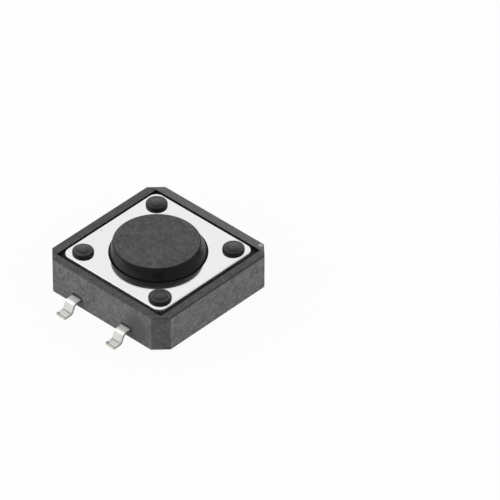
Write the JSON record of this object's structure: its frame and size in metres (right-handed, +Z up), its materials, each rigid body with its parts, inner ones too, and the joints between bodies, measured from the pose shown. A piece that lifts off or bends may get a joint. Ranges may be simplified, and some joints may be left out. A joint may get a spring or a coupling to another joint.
{
  "type": "tactile push button switch",
  "caption": "Square surface-mount push button switch with a low round button, a staked steel cover plate and gull-wing leads on two sides.",
  "frame": {"origin": "on the board plane under the feet, on the axis of the button", "axes": "+Z up, the way the button stands; the leads come out along +Y and -Y; the strip with the middle contact lies on the -X side"},
  "size_m": [0.012, 0.0156, 0.0041],
  "materials": {
    "housing_plastic": "matt charcoal moulding with a fine grain",
    "button_plastic": "matt black moulding",
    "plate_steel": "bright satin sheet",
    "dome_steel": "bright spring steel",
    "tinned_metal": "bright tin plate over brass"
  },
  "bodies": {
    "base": {"housing": "housing_plastic", "cover_plate": "plate_steel", "contact_dome": "dome_steel", "centre_contact_strip": "tinned_metal", "rim_contact_strip": "tinned_metal"},
    "button": {"plunger": "button_plastic"}
  },
  "joints": [
    {"name": "button_press", "type": "slide", "parent": "base", "child": "button", "axis": [0, 0, -1], "range_m": [0, 0.0003], "stiffness_N_per_m": 6000, "deforming": ["contact_dome"]}
  ]
}
